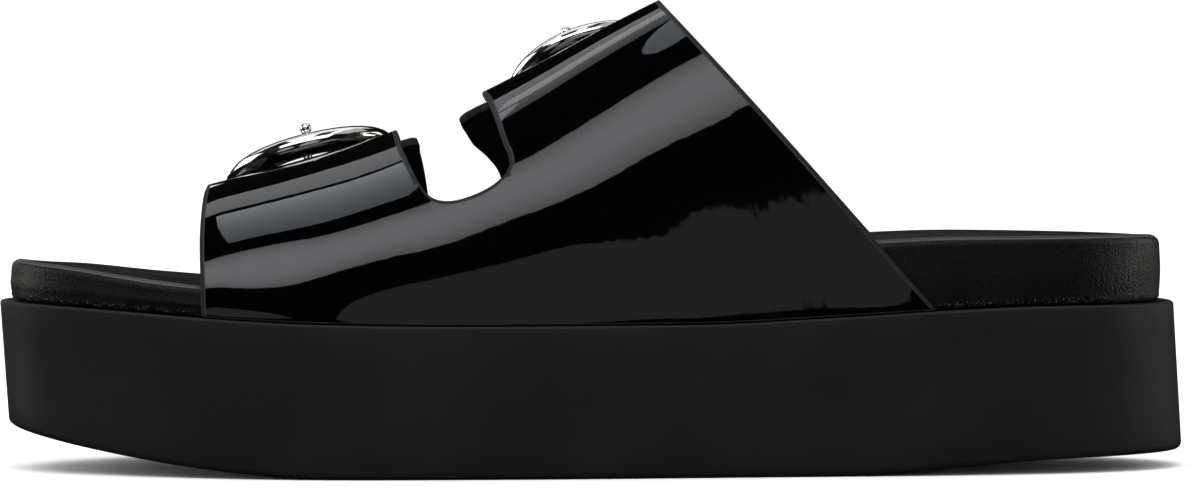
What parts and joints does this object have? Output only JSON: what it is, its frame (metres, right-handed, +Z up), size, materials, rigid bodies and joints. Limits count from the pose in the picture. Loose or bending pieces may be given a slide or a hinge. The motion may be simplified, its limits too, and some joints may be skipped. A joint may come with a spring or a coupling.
{
  "type": "platform sandal",
  "caption": "Platform slide sandal with a thick plain sole, a padded footbed and an open patent-leather upper whose crossing straps carry round ring buckles.",
  "frame": {"origin": "on the floor under the middle of the shoe's length and width", "axes": "+Z up, the toe towards -X, the medial side of the foot towards -Y, the buckles towards +Y"},
  "size_m": [0.2666, 0.0957, 0.1053],
  "materials": {
    "sole_rubber": "matte moulded foam rubber",
    "footbed_leather": "smooth grained leather over padding",
    "patent_leather": "black patent, high gloss",
    "buckle_metal": "polished silver"
  },
  "bodies": {
    "root": {"platform_sole": "sole_rubber", "footbed": "footbed_leather", "upper": "patent_leather", "front_buckle_ring": "buckle_metal", "front_buckle_prong": "buckle_metal", "rear_buckle_ring": "buckle_metal", "rear_buckle_prong": "buckle_metal"}
  },
  "joints": []
}
